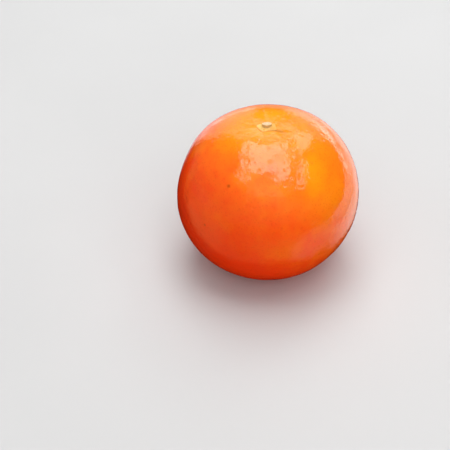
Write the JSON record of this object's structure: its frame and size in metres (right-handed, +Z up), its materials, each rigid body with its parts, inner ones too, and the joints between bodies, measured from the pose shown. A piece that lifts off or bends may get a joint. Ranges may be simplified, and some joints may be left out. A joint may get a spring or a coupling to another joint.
{
  "type": "seminole tangelo",
  "caption": "Whole ripe tangelo, a round, slightly flattened citrus fruit with glossy orange-red rind, a five-lobed button and a clipped stalk; it rests on its blossom end.",
  "frame": {"origin": "centre of the flat spot at the blossom end, on which the fruit rests", "axes": "+Z up along the fruit's own axis to the stalk; -Y towards the side that the picture shows; +X to the right of that view"},
  "size_m": [0.08, 0.0796, 0.0736],
  "materials": {
    "orange_rind": "gloss",
    "green_button": "matte",
    "cut_stalk": "matte"
  },
  "bodies": {
    "root": {"fruit": "orange_rind", "calyx": "green_button", "stalk": "cut_stalk"}
  },
  "joints": []
}
